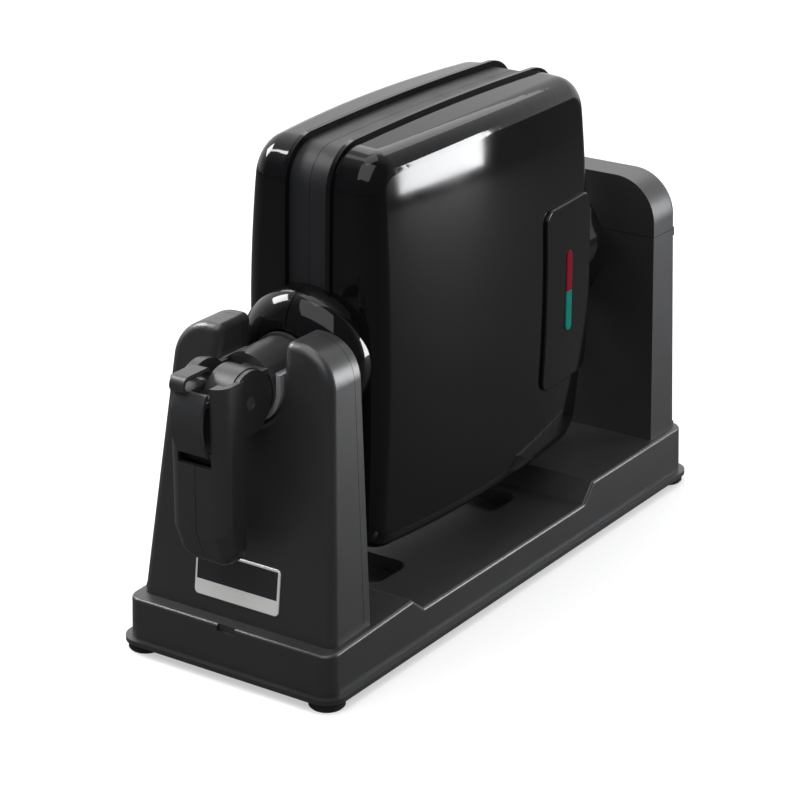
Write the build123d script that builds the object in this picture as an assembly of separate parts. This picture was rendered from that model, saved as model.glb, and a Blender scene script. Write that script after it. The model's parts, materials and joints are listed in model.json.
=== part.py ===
from build123d import *
from math import atan2, cos, degrees, sin, sqrt
import os

# Rotating waffle maker, stored upright in its stand. Millimetres, +Z up.
# +Y runs from the handle end to the rear column, and +X is the side with the lamps.
# The cooker is closed: the lid is its half at -X and the fixed half is the one at +X.

# Fits between pieces, and how far a cutting form reaches past what it cuts
running_fit = 0.06
seat_gap = 0.3
body_gap = 0.5
overcut = 1.0
touch = 0.1

# Stand: tray, feet and flange
base_front_reach = 10.5
base_width = 153.0
base_corner = 10.0
base_draft = 1.0
base_wall = 3.0
flange_lip = 4.0
flange_thickness = 3.0
foot_height = 6.0
foot_radius = 11.0
foot_inset = 13.0
foot_stud_radius = 3.0
cover_thickness = 2.5
front_deck_low = 35.0
front_deck_high = 38.5
front_deck_length = 87.0
mid_deck_height = 29.0
rear_deck_height = 41.0
rear_deck_length = 123.0
deck_step_run = 12.0
foot_chamfer = 1.2
deck_edge_radius = 2.0
pocket_length = 36.0
pocket_width = 66.0
pocket_depth = 9.0
pocket_spacing = 129.0
pocket_corner = 8.0
notch_width = 13.0
notch_height = 4.0

# Pivot line of the cooker
pivot_height = 180.0

# Front column, with the open slot that the handle neck lies in
front_column_side_inset = 5.5
front_column_narrowing = 12.5
front_column_front_lean = 21.3
front_column_depth_top = 30.2
front_column_rear_lean = 12.0
front_column_gap = 2.0
front_column_rise = 29.5
front_column_edge = 6.0
front_column_rear_edge = 2.5
lobe_flat = 9.5
lobe_tip_radius = 5.0
slot_half = 23.0
column_wall = 3.0
rear_cover_depth = 8.0
liner_margin = 2.5
liner_leg = 10.0
cover_screw_inset = 16.5
cover_screw_rise = 35.0
cover_screw_drop = 5.0
post_radius = 5.0
spigot_inset = 8.0
post_depth = 12.0
spigot_corner = 5.0
plate_width = 62.0
plate_tall = 29.0
plate_thickness = 0.8
plate_corner = 3.0
plate_centre_height = 60.0

# Rear column
rear_column_side_inset = 5.0
rear_column_narrowing = 4.0
rear_column_gap = 21.0
rear_column_back_inset = 4.0
rear_column_depth_top = 31.0
rear_column_rise = 44.0
rear_column_corner = 30.0
rear_column_edge = 8.0
cap_seam_rise = 5.0
cap_lip = 6.0
cap_lip_wall = 2.0
gland_height = 62.0
gland_radius = 8.0
gland_bore_radius = 3.6
gland_length = 8.0
gland_collar = 2.0

# Cooker halves
cooker_half_length = 125.0
cooker_half_height = 129.0
cooker_corner = 26.0
side_bow = 3.0
lip_start = 14.5
lip_width = 3.0
lip_proud = 2.0
rim_inset = 2.0
rim_wall = 6.0
parting_gap = 0.3
shell_reach = 56.0
shell_draft = 4.0
shell_crown_radius = 1100.0
shell_edge_radius = 15.0
shell_wall = 2.4

# Waffle plates: two moulds of studs in each half
grid_rows = 7
grid_columns = 4
mould_length = 204.0
mould_width = 100.0
mould_divider = 8.0
mould_depth = 14.0
plate_floor = 3.0
plate_margin = 5.0
plate_recess = 0.4
mould_corner = 6.0
stud_length = 17.0
stud_width = 14.0
stud_taper = 2.5
stud_gap = 3.5

# Heater and reflector in each half
heater_radius = 3.2
heater_half_length = 72.0
heater_half_width = 62.0
heater_bend = 22.0
terminal_radius = 4.5
terminal_length = 10.0
reflector_thickness = 0.8
reflector_depth = 9.0

# Control housing with its two lamps; heights here and below are measured from the pivot line
housing_front = 55.0
housing_rear_inset = 9.0
housing_drop = 72.0
housing_rise = 50.0
housing_proud = 2.0
housing_root_depth = 12.0
housing_corner = 9.0
housing_edge = 1.2
lens_width = 7.0
lens_length = 27.0
lens_centre_along = 84.5
lens_joint_drop = 9.0
lens_proud = 0.8
lens_depth = 6.0
lens_window = 2.0
board_gap = 1.5
board_thickness = 1.6
board_side = 8.0
thermostat_depth = 10.0
thermostat_radius = 14.0
thermostat_along = 60.0
thermostat_button = 4.0

# Front and rear bosses, neck and rear shaft
boss_radius = 44.0
boss_root_inset = 7.0
boss_length = 22.0
boss_shoulder_depth = 9.0
boss_nose_radius = 28.0
boss_round = 7.0
boss_wall = 4.0
neck_radius = 20.0
neck_wall = 4.0
neck_reach = 6.3
collar_gap = 1.4
collar_width = 3.0
neck_flange = 3.0
waist_half = 14.0
hub_radius = 8.5
loop_clearance = 2.2
collar_step = 1.5
lid_neck_clearance = 2.5
rear_boss_radius = 46.0
rear_boss_length = 25.0
rear_boss_round = 8.0
shaft_radius = 15.0
shaft_bore_radius = 8.0
shaft_shoulder_radius = 22.0
bush_wall = 4.0
bush_flange = 4.0
bush_flange_thickness = 2.5
bush_length = 14.0
clip_width = 2.0
clip_rise = 4.0
shaft_tip = 3.0

# Floating hinge of the lid
hinge_offset = 26.0
hinge_line_reach = 12.0
hinge_pin_radius = 3.0
hinge_lug_radius = 7.0
hinge_lug_height = 20.0
hinge_spread = 66.0
hinge_ear_thickness = 5.0
hinge_ear_radius = 6.0
pin_head_radius = 5.0
pin_head_height = 2.0
hinge_float = 4.0

# Folding handle
fold_reach = 20.5
drum_radius = 20.0
tongue_half = 16.3
fold_pin_radius = 4.0
arm_half = 20.5
arm_front_reach = 28.5
arm_rear_reach = 6.0
arm_rise = 16.0
arm_drop = 98.0
arm_edge = 9.0
arm_corner = 13.0
arm_rear_edge = 3.0
arm_wall = 3.0
arm_bevel_height = 23.0
arm_bevel_depth = 9.0
disc_recess = 1.0
disc_radius = 19.4

# Latch lever in the handle
latch_half = 11.0
latch_recess_half = 12.0
latch_recess_drop = 33.0
latch_recess_depth = 6.3
latch_belly = 6.0
latch_proud = 7.5
latch_drop = 26.0
latch_rise = 12.0
latch_thickness = 3.0
latch_pin_radius = 1.6
latch_knuckle_radius = 3.6
latch_pin_rise = 6.0
latch_pin_depth = 5.0
latch_pin_grip = 3.0
loop_inner = 1.5
loop_outer = 11.5
loop_front_inset = 1.0
loop_rear_reach = 8.0
loop_low_rise = 10.0
loop_high_rise = 21.0
loop_wall = 2.2
spring_wire = 0.5
spring_turns = 4
spring_length = 6.0

# Fasteners
screw_radius = 1.6
screw_head_radius = 3.2
screw_head_height = 2.2
screw_length = 9.0
screw_slot_width = 0.8
screw_slot_depth = 0.6
screw_grip = 5.0
handle_screw_reach = 15.0
handle_screw_drops = (32.0, 60.0, 84.0)

# Distances along the stand, each from its neighbour, outward from the cooker's end
boss_root = cooker_half_length - boss_root_inset
boss_nose = cooker_half_length + boss_length
boss_shoulder = boss_nose - boss_shoulder_depth
front_column_rear_top = boss_nose + front_column_gap
front_column_rear_foot = front_column_rear_top + front_column_rear_lean
front_column_front_top = front_column_rear_top + front_column_depth_top
front_column_front_foot = front_column_front_top + front_column_front_lean
neck_end = front_column_front_top + neck_reach
fold_line = neck_end + fold_reach
arm_front = fold_line + arm_front_reach
arm_rear = fold_line + arm_rear_reach
latch_reach = arm_front + latch_proud
latch_pin_line = arm_front - latch_pin_depth
loop_front = latch_reach - loop_front_inset
loop_rear = fold_line + loop_rear_reach
handle_screw_line = fold_line + handle_screw_reach
hinge_line = cooker_half_length + hinge_line_reach
rear_boss_end = cooker_half_length + rear_boss_length
rear_column_front = rear_boss_end + rear_column_gap
housing_rear = cooker_half_length - housing_rear_inset
housing_root = shell_reach - housing_root_depth

# Sizes that follow from the ones above
base_half_length = front_column_front_foot + base_front_reach
rear_column_depth_foot = base_half_length - rear_column_front - rear_column_back_inset
base_length = 2 * base_half_length
base_half_width = base_width / 2
front_column_foot_half = base_half_width - front_column_side_inset
front_column_shoulder_half = front_column_foot_half - front_column_narrowing
lobe_crown_radius = front_column_shoulder_half - slot_half - lobe_flat
cover_screw_reach = front_column_shoulder_half - cover_screw_inset
rear_column_foot_half = base_half_width - rear_column_side_inset
rear_column_top_half = rear_column_foot_half - rear_column_narrowing

# Heights that follow the pivot line
front_column_height = pivot_height + front_column_rise
rear_column_height = pivot_height + rear_column_rise
cap_seam_height = pivot_height + cap_seam_rise
cover_screw_heights = (front_deck_low + cover_screw_rise, pivot_height - cover_screw_drop)
housing_low = pivot_height - housing_drop
housing_high = pivot_height + housing_rise
lens_joint_height = pivot_height - lens_joint_drop
arm_top = pivot_height + arm_rise
arm_bottom = pivot_height - arm_drop
latch_recess_low = pivot_height - latch_recess_drop
latch_low = pivot_height - latch_drop
latch_high = pivot_height + latch_rise
latch_pin_height = pivot_height + latch_pin_rise
loop_low = pivot_height + loop_low_rise
loop_high = pivot_height + loop_high_rise

# Everything is drawn about the middle of the stand, then moved along Y so that the
# origin lies under the middle of the whole object, latch included.
flange_half_length = base_half_length + flange_lip
row_shift = (latch_reach - flange_half_length) / 2

os.makedirs("parts", exist_ok=True)
nodes = {}


def keep(name, shape):
    """Moves a finished piece into the row frame and remembers it under its node name."""
    nodes[name] = Pos(0, row_shift, 0) * shape


def block(x0, x1, y0, y1, z0, z1):
    """A box between two corners."""
    size = Box(x1 - x0, y1 - y0, z1 - z0)
    return Pos((x0 + x1) / 2, (y0 + y1) / 2, (z0 + z1) / 2) * size


def rod_x(x0, x1, y, z, radius):
    """A round bar along X."""
    return Pos((x0 + x1) / 2, y, z) * Rot(0, 90, 0) * Cylinder(radius, x1 - x0)


def rod_y(x, y0, y1, z, radius):
    """A round bar along Y."""
    return Pos(x, (y0 + y1) / 2, z) * Rot(90, 0, 0) * Cylinder(radius, y1 - y0)


def rod_z(x, y, z0, z1, radius):
    """A round bar along Z."""
    return Pos(x, y, (z0 + z1) / 2) * Cylinder(radius, z1 - z0)


def section_yz(points, x0, x1):
    """A polygon in the Y-Z plane, made solid from x0 to x1."""
    face = Plane.YZ * make_face(Polyline(*points, close=True))
    return Pos(x0, 0, 0) * extrude(face, amount=x1 - x0)


def screw(at, direction):
    """A pan-head screw whose head sits on the point and whose shank runs along direction."""
    place = Plane(origin=at, z_dir=direction)
    shank = Pos(0, 0, screw_length / 2) * Cylinder(screw_radius, screw_length)
    head = Pos(0, 0, -screw_head_height / 2) * Cylinder(screw_head_radius, screw_head_height)
    slot = Pos(0, 0, -screw_head_height) * Box(2 * screw_head_radius, screw_slot_width, 2 * screw_slot_depth)
    return place * (head + shank - slot)


# Stand tray: a drafted moulding, open below, whose deck is lower under the cooker
tray_bottom = foot_height
cover_top = foot_height + cover_thickness
front_step = front_deck_length - base_half_length
front_seat = front_deck_low - deck_edge_radius
rear_seat = rear_deck_height - deck_edge_radius
rear_step = base_half_length - rear_deck_length


def tray_form(inset):
    """The tray's outer form, or the form of its hollow when it is inset by the wall."""
    rise = rear_deck_height - tray_bottom
    draft = degrees(atan2(base_draft, rise))
    plan = RectangleRounded(base_width - 2 * inset, base_length - 2 * inset, base_corner - inset)
    walls = extrude(Pos(0, 0, tray_bottom) * plan, amount=rise + deck_edge_radius, taper=draft)
    deck = [
        (-base_half_length - flange_lip, tray_bottom),
        (-base_half_length - flange_lip, front_deck_low - inset),
        (front_step, front_deck_high - inset),
        (front_step + deck_step_run, mid_deck_height - inset),
        (rear_step - deck_step_run, mid_deck_height - inset),
        (rear_step, rear_deck_height - inset),
        (base_half_length + flange_lip, rear_deck_height - inset),
        (base_half_length + flange_lip, tray_bottom),
    ]
    return walls & section_yz(deck, -base_half_width, base_half_width)


def front_face_y(height):
    """Where the leaning front face of the front column stands at a height."""
    lean = (front_column_front_foot - front_column_front_top) / (front_column_height - front_deck_low)
    return -front_column_front_foot + lean * (height - front_deck_low)


def rear_face_y(height):
    """Where the leaning rear face of the front column stands at a height."""
    lean = (front_column_rear_foot - front_column_rear_top) / (front_column_height - front_deck_low)
    return -front_column_rear_foot + lean * (height - front_deck_low)


def front_column_side_x(height):
    """Half the width of the front column at a height below its shoulders."""
    narrowing = front_column_foot_half - front_column_shoulder_half
    return front_column_foot_half - narrowing * (height - front_deck_low) / (pivot_height - front_deck_low)


def on_plane(edges, face_y, low):
    """The edges that lie on a leaning face, above a height."""
    def lies(edge):
        ends = [edge @ 0, edge @ 1]
        return edge.center().Z > low and all(abs(p.Y - face_y(p.Z)) < touch / 10 for p in ends)
    return edges.filter_by(lies)


def front_column_form(inset):
    """The front column as a solid: two lobes beside an open slot, leaning faces, rounded edges."""
    top = front_column_height - inset
    low = front_column_side_x(front_seat) - inset
    high = front_column_side_x(front_column_height) - inset
    slot = slot_half + inset
    corners = [(-low, front_seat), (low, front_seat), (high, top), (-high, top)]
    front = make_face(Polyline(*corners, close=True))
    crowns = front.vertices().filter_by(lambda v: v.Y > top - touch)
    front = fillet(crowns, lobe_crown_radius - inset)
    front -= Pos(0, pivot_height) * Circle(slot)
    front -= Pos(0, pivot_height + slot) * Rectangle(2 * slot, 2 * slot)
    tips = front.vertices().filter_by(lambda v: v.Y > top - touch and abs(abs(v.X) - slot) < touch)
    front = fillet(tips, lobe_tip_radius - inset)
    body = Pos(0, -front_column_rear_top, 0) * extrude(Plane.XZ * front, amount=front_column_front_foot / 2)
    side = [
        (front_face_y(front_seat) + inset, front_seat),
        (front_face_y(top) + inset, top),
        (rear_face_y(top) - inset, top),
        (rear_face_y(front_seat) - inset, front_seat),
    ]
    body &= section_yz(side, -front_column_front_foot / 2, front_column_front_foot / 2)
    if inset > 0:
        return body
    body = fillet(on_plane(body.edges(), front_face_y, front_seat + overcut), front_column_edge)
    return fillet(on_plane(body.edges(), rear_face_y, front_seat + overcut), front_column_rear_edge)


def rear_column_back_y(height):
    """Where the leaning back face of the rear column stands at a height."""
    lean = (rear_column_depth_foot - rear_column_depth_top) / (rear_column_height - rear_deck_height)
    return rear_column_front + rear_column_depth_foot - lean * (height - rear_deck_height)


def rear_column_form(inset):
    """The rear column as a solid with round top corners and a leaning back."""
    top = rear_column_height - inset
    low = rear_column_foot_half - inset
    high = rear_column_top_half - inset
    outline = [(-low, rear_seat), (low, rear_seat), (high, top), (-high, top)]
    front = make_face(Polyline(*outline, close=True))
    corners = front.vertices().filter_by(lambda v: v.Y > top - touch)
    front = fillet(corners, rear_column_corner - inset)
    deep = 2 * rear_column_depth_foot
    body = Pos(0, rear_column_front + inset + deep, 0) * extrude(Plane.XZ * front, amount=deep)
    side = [
        (rear_column_front + inset, rear_seat),
        (rear_column_front + inset, top),
        (rear_column_back_y(top) - inset, top),
        (rear_column_back_y(rear_seat) - inset, rear_seat),
    ]
    body &= section_yz(side, -2 * low, 2 * low)
    if inset > 0:
        return body
    return fillet(on_plane(body.edges(), rear_column_back_y, rear_seat + overcut), rear_column_edge)


def spigot(half_x, low_y, high_y, top, grow):
    """The tube under a column that passes the deck and stands on the base plate."""
    plan = RectangleRounded(2 * (half_x + grow), high_y - low_y + 2 * grow, spigot_corner + grow)
    return Pos(0, (low_y + high_y) / 2, cover_top) * extrude(plan, amount=top - cover_top)


def column_foot(half_x, low_y, high_y, top):
    """The spigot with its two screw posts, and the places of the screws."""
    tube = spigot(half_x, low_y, high_y, top, 0) - spigot(half_x, low_y, high_y, top + overcut, -column_wall)
    places = [(side * (half_x - column_wall / 2 - post_radius), (low_y + high_y) / 2) for side in (-1, 1)]
    for x, y in places:
        tube += rod_z(x, y, cover_top, cover_top + post_depth, post_radius)
        tube -= rod_z(x, y, cover_top, cover_top + post_depth - column_wall / 2, screw_radius)
    return tube, places


# Each column stands on the deck and has a spigot through it
front_spigot_half = front_column_foot_half - spigot_inset
front_spigot_low = front_face_y(front_deck_high) + spigot_inset
front_spigot_high = rear_face_y(front_deck_high) - rear_cover_depth - seat_gap
rear_spigot_half = rear_column_foot_half - spigot_inset
rear_spigot_low = rear_column_front + spigot_inset
rear_spigot_high = rear_column_back_y(rear_deck_height) - spigot_inset

# Stand
tray = fillet(tray_form(0).edges().filter_by(lambda e: e.center().Z > mid_deck_height - overcut), deck_edge_radius)
flange = extrude(
    Pos(0, 0, tray_bottom) * RectangleRounded(base_width + 2 * flange_lip, base_length + 2 * flange_lip,
                                              base_corner + flange_lip),
    amount=flange_thickness,
)
tray_outer = tray
tray = tray + flange - tray_form(base_wall)
pocket_floor = mid_deck_height - pocket_depth
pocket_middle = (front_step + rear_step) / 2
for centre in (pocket_middle - pocket_spacing / 2, pocket_middle + pocket_spacing / 2):
    cup = RectangleRounded(pocket_width + 2 * base_wall, pocket_length + 2 * base_wall,
                           pocket_corner + base_wall)
    tray += Pos(0, centre, pocket_floor - base_wall) * extrude(cup, amount=pocket_depth + base_wall / 2)
    recess = RectangleRounded(pocket_width, pocket_length, pocket_corner)
    tray -= Pos(0, centre, pocket_floor) * extrude(recess, amount=pocket_depth + overcut)
notch_depth = base_wall / 2
tray -= block(-notch_width / 2, notch_width / 2, -base_half_length - overcut,
              -base_half_length + base_draft + notch_depth, front_deck_low - notch_height, front_deck_high)
tray -= spigot(front_spigot_half, front_spigot_low, front_spigot_high, front_deck_high + overcut, seat_gap)
tray -= spigot(rear_spigot_half, rear_spigot_low, rear_spigot_high, rear_deck_height + overcut, seat_gap)
keep("base_tray", tray)

front_foot, front_screws = column_foot(front_spigot_half, front_spigot_low, front_spigot_high,
                                       front_deck_high + column_wall)
rear_foot, rear_screws = column_foot(rear_spigot_half, rear_spigot_low, rear_spigot_high,
                                     rear_deck_height + column_wall)

foot_x = base_half_width + flange_lip - foot_inset
foot_y = base_half_length + flange_lip - foot_inset
foot_places = [(x, y) for x in (-foot_x, foot_x) for y in (-foot_y, foot_y)]
cover = extrude(
    Pos(0, 0, foot_height) * RectangleRounded(
        base_width - 2 * (base_wall + seat_gap), base_length - 2 * (base_wall + seat_gap),
        base_corner - base_wall),
    amount=cover_thickness,
)
feet = []
for x, y in foot_places:
    cover -= rod_z(x, y, foot_height, cover_top, foot_stud_radius + running_fit)
    pad = chamfer(rod_z(x, y, 0, foot_height, foot_radius).edges().sort_by(Axis.Z)[0], foot_chamfer)
    feet.append(pad + rod_z(x, y, foot_height / 2, cover_top, foot_stud_radius))
base_screws = []
for x, y in front_screws + rear_screws:
    cover -= rod_z(x, y, foot_height, cover_top, screw_radius + running_fit)
    cover -= rod_z(x, y, foot_height, foot_height + screw_head_height / 2, screw_head_radius + seat_gap)
    base_screws.append(screw((x, y, foot_height + screw_head_height / 2), (0, 0, 1)))
keep("base_plate", cover)
keep("rubber_feet", Compound(feet))
keep("base_screws", Compound(base_screws))

# Front column: a front shell and a thin rear cover that is screwed to it
front_shell = front_column_form(0) - front_column_form(column_wall) - tray_outer
floor = front_column_form(column_wall / 2) & block(
    -base_width, base_width, -base_length, front_spigot_high, front_deck_high, front_deck_high + column_wall)
floor -= spigot(front_spigot_half, front_spigot_low, front_spigot_high, 2 * front_deck_high, 0)
parting = [
    (rear_face_y(0) - rear_cover_depth, 0),
    (rear_face_y(2 * front_column_height) - rear_cover_depth, 2 * front_column_height),
    (0, 2 * front_column_height),
    (0, 0),
]
behind = section_yz(parting, -base_width, base_width)
rear_cover = front_shell & (Pos(0, seat_gap, 0) * behind)
front_shell = front_shell - behind + floor + front_foot
cover_screws = []
for x in (-cover_screw_reach, cover_screw_reach):
    for z in cover_screw_heights:
        back = rear_face_y(z)
        front_shell += rod_y(x, front_face_y(z) + column_wall / 2, back - rear_cover_depth, z, post_radius)
        front_shell -= rod_y(x, back - screw_head_height - screw_length - overcut, back, z, screw_radius)
        rear_cover += rod_y(x, back - rear_cover_depth + seat_gap, back - column_wall / 2, z, post_radius)
        rear_cover -= rod_y(x, back - rear_cover_depth - overcut, back + overcut, z, screw_radius + running_fit)
        rear_cover -= rod_y(x, back - screw_head_height, back + overcut, z, screw_head_radius + seat_gap)
        cover_screws.append(screw((x, back - screw_head_height, z), (0, -1, 0)))
keep("front_column_shell", front_shell)
keep("front_column_cover", rear_cover)

liner_start = front_face_y(pivot_height - slot_half)
liner_end = rear_face_y(pivot_height - slot_half)
liner = rod_y(0, liner_start + liner_margin, liner_end - liner_margin, pivot_height, slot_half - running_fit)
liner += block(-slot_half + running_fit, slot_half - running_fit, liner_start + liner_margin,
               liner_end - liner_margin, pivot_height, pivot_height + liner_leg)
liner -= rod_y(0, liner_start, liner_end, pivot_height, neck_radius + running_fit)
liner -= block(-neck_radius - running_fit, neck_radius + running_fit, liner_start, liner_end,
               pivot_height, pivot_height + 2 * slot_half)
keep("saddle_liner", liner)

face_lean = atan2(front_column_front_foot - front_column_front_top, front_column_height - front_deck_low)
plate_place = Plane(
    origin=(0, front_face_y(plate_centre_height), plate_centre_height),
    x_dir=(1, 0, 0),
    z_dir=(0, -cos(face_lean), sin(face_lean)),
)
name_plate = extrude(RectangleRounded(plate_width, plate_tall, plate_corner), amount=plate_thickness)
name_plate = chamfer(name_plate.faces().sort_by(Axis.Z)[-1].edges(), plate_thickness / 2)
keep("name_plate", plate_place * name_plate)

# Rear column: a body and a cap that sits over a lip, with the bearing in its front wall
rear_shell = rear_column_form(0) - rear_column_form(column_wall) - tray_outer
above = block(-base_width, base_width, 0, 2 * base_half_length, cap_seam_height, 2 * rear_column_height)
cap = rear_shell & (Pos(0, 0, seat_gap) * above)
rear_body = rear_shell - above
lip_low = block(-base_width, base_width, 0, 2 * base_half_length,
                cap_seam_height - cap_lip, cap_seam_height)
lip_high = block(-base_width, base_width, 0, 2 * base_half_length, cap_seam_height, cap_seam_height + cap_lip)
lip_inner = rear_column_form(column_wall + cap_lip_wall)
rear_body += (rear_column_form(column_wall / 2) - lip_inner) & lip_low
rear_body += (rear_column_form(column_wall + running_fit) - lip_inner) & lip_high
floor = rear_column_form(column_wall / 2) & block(
    -base_width, base_width, 0, base_length, rear_deck_height, rear_deck_height + column_wall)
floor -= spigot(rear_spigot_half, rear_spigot_low, rear_spigot_high, 2 * rear_deck_height, 0)
rear_body += floor
rear_body += rear_foot
bush_radius = shaft_radius + bush_wall
bush_hole = rod_y(0, rear_column_front - overcut, rear_column_front + column_wall + cap_lip_wall + overcut,
                  pivot_height, bush_radius + running_fit)
rear_body -= bush_hole
cap -= bush_hole
gland_face = rear_column_back_y(gland_height)
rear_body -= rod_y(0, gland_face - 2 * column_wall, gland_face + overcut, gland_height, gland_radius + running_fit)
keep("rear_column_body", rear_body)
keep("rear_column_cap", cap)

gland = rod_y(0, gland_face - 2 * column_wall, gland_face + gland_length, gland_height, gland_radius)
gland += rod_y(0, gland_face + seat_gap, gland_face + column_wall, gland_height, gland_radius + gland_collar)
gland -= rod_y(0, gland_face - gland_length, gland_face + 2 * gland_length, gland_height, gland_bore_radius)
keep("cord_gland", gland)

bush = rod_y(0, rear_column_front, rear_column_front + bush_length, pivot_height, bush_radius)
bush += rod_y(0, rear_column_front - bush_flange_thickness, rear_column_front, pivot_height,
              bush_radius + bush_flange)
bush -= rod_y(0, rear_column_front - bush_length, rear_column_front + 2 * bush_length, pivot_height,
              shaft_radius + running_fit)
keep("shaft_bush", bush)

# Cooker: each half has a domed shell with a lip, a rim band, a plate with studs and a heater
cooker_frame = Plane(origin=(0, 0, pivot_height), x_dir=(0, 1, 0), z_dir=(1, 0, 0))


def cooker_outline(inset):
    """The bowed outline of the cooker, drawn flat: X is the run along the stand and Y the height."""
    run = cooker_half_length - side_bow - inset
    tall = cooker_half_height - side_bow - inset
    sides = [
        ThreePointArc((-run, -tall), (0, -tall - side_bow), (run, -tall)),
        ThreePointArc((run, -tall), (run + side_bow, 0), (run, tall)),
        ThreePointArc((run, tall), (0, tall + side_bow), (-run, tall)),
        ThreePointArc((-run, tall), (-run - side_bow, 0), (-run, -tall)),
    ]
    face = make_face(sides)
    return fillet(face.vertices(), cooker_corner - inset)


def slab(inset, x0, x1):
    """The cooker's outline made solid between two distances from the parting plane."""
    return cooker_frame * (Pos(0, 0, x0) * extrude(cooker_outline(inset), amount=x1 - x0))


def dome(inset):
    """A shell's form: drafted sides, a large crown and a round edge."""
    reach = shell_reach - inset
    walls = Pos(0, 0, lip_start) * extrude(cooker_outline(inset), amount=reach - lip_start + overcut,
                                           taper=shell_draft)
    crown = Pos(0, 0, reach - shell_crown_radius) * Rot(90, 0, 0) * Sphere(shell_crown_radius)
    body = walls & crown
    edges = body.edges().filter_by(lambda e: min((e @ 0).Z, (e @ 1).Z) > lip_start + overcut)
    return cooker_frame * fillet(edges, shell_edge_radius - inset)


def other_half(shape):
    """The same piece on the lid's side."""
    return mirror(shape, Plane.YZ)


rim_end = lip_start
plate_face = parting_gap / 2 + plate_recess
plate_back = plate_face + mould_depth + plate_floor
rim_inner = rim_inset + rim_wall
shell_outer = dome(0)
shell = shell_outer - dome(shell_wall)
shell += slab(-lip_proud, lip_start, lip_start + lip_width) - slab(rim_inner, lip_start, lip_start + lip_width)
right_shell = shell
left_shell = other_half(shell)
rim = slab(rim_inset, parting_gap / 2, rim_end) - slab(rim_inner, parting_gap / 2, rim_end)
right_rim = rim
left_rim = other_half(rim)

# A plate: two moulds, each with a grid of tapered studs, in a flat flange
pitch_along = mould_length / grid_rows
pitch_across = mould_width / grid_columns
mould_centres = [-(mould_width + mould_divider) / 2, (mould_width + mould_divider) / 2]
waffle = slab(rim_inner + seat_gap, plate_face, plate_face + plate_floor)
stud_height = mould_depth - stud_gap
stud_angle = degrees(atan2(stud_taper, stud_height))
wall_angle = degrees(atan2(stud_taper, mould_depth))
for centre in mould_centres:
    cup = Pos(0, centre, plate_face) * extrude(
        Rectangle(mould_length + 2 * plate_floor, mould_width + mould_divider), amount=mould_depth + plate_floor)
    waffle += cooker_frame * cup
for centre in mould_centres:
    mould = Pos(0, centre, plate_face) * extrude(
        RectangleRounded(mould_length, mould_width, mould_corner), amount=mould_depth, taper=wall_angle)
    places = GridLocations(pitch_along, pitch_across, grid_rows, grid_columns)
    studs = [Pos(0, centre, plate_face + mould_depth) * Rot(180, 0, 0) *
             extrude(place * Rectangle(stud_length, stud_width), amount=stud_height, taper=stud_angle)
             for place in places]
    waffle -= cooker_frame * mould
    waffle += [cooker_frame * stud for stud in studs]
right_plate = waffle
left_plate = other_half(waffle)

heater_path = FilletPolyline(
    (-heater_bend, -heater_half_width), (-heater_half_length, -heater_half_width),
    (-heater_half_length, heater_half_width), (heater_half_length, heater_half_width),
    (heater_half_length, -heater_half_width), (heater_bend, -heater_half_width),
    radius=heater_bend,
)
heater_section = Plane(origin=heater_path @ 0, z_dir=heater_path % 0) * Circle(heater_radius)
heater = Pos(0, 0, plate_back + heater_radius) * sweep(heater_section, path=heater_path)
for side in (-1, 1):
    tail = Pos(side * heater_bend, -heater_half_width, plate_back + heater_radius + terminal_length / 2)
    heater += tail * Cylinder(terminal_radius, terminal_length)
right_heater = cooker_frame * heater
left_heater = other_half(right_heater)

pan_start = plate_back
pan_end = plate_back + reflector_depth
pan_inset = rim_inner + 2 * plate_margin
reflector = slab(pan_inset, pan_start, pan_end)
reflector -= slab(pan_inset + reflector_thickness, pan_start, pan_end - reflector_thickness)
for side in (-1, 1):
    reflector -= rod_x(0, 2 * pan_end, side * heater_bend, pivot_height - heater_half_width,
                       terminal_radius + seat_gap)
right_reflector = reflector
left_reflector = other_half(reflector)
keep("left_shell", left_shell)
keep("left_rim", left_rim)
keep("left_waffle_plate", left_plate)
keep("left_heating_element", left_heater)
keep("left_reflector", left_reflector)
keep("right_waffle_plate", right_plate)
keep("right_heating_element", right_heater)
keep("right_reflector", right_reflector)

# Control housing with its two-part lens, on the flank of the fixed half
housing_middle = (housing_front + housing_rear) / 2
housing_centre = (housing_low + housing_high) / 2 - pivot_height


def crown_reach(along, rise):
    """How far out the ball of the shell's face, grown by a rise, stands at a run along the stand."""
    ball = shell_crown_radius + rise
    return shell_reach - shell_crown_radius + sqrt(ball ** 2 - along ** 2)


def housing_form():
    """The raised cover over the controls, whose face follows the shell's crown."""
    plan = RectangleRounded(housing_rear - housing_front, housing_high - housing_low, housing_corner)
    walls = Pos(housing_middle, housing_centre, housing_root) * extrude(
        plan, amount=shell_reach + 2 * housing_proud - housing_root)
    ball = Pos(0, 0, shell_reach - shell_crown_radius) * Rot(90, 0, 0) * Sphere(
        shell_crown_radius + housing_proud)
    cover = walls & ball
    rim = cover.edges().filter_by(lambda e: min((e @ 0).Z, (e @ 1).Z) > housing_root + overcut)
    return cooker_frame * fillet(rim, housing_edge)


def lens_form(grow, start, end):
    """The slot of both lens pieces between two distances, grown all round by a clearance."""
    plan = SlotOverall(2 * lens_length + 2 * grow, lens_width + 2 * grow, rotation=90)
    slot = extrude(plan, amount=end - start)
    return cooker_frame * (Pos(lens_centre_along, lens_joint_height - pivot_height, start) * slot)


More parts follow.
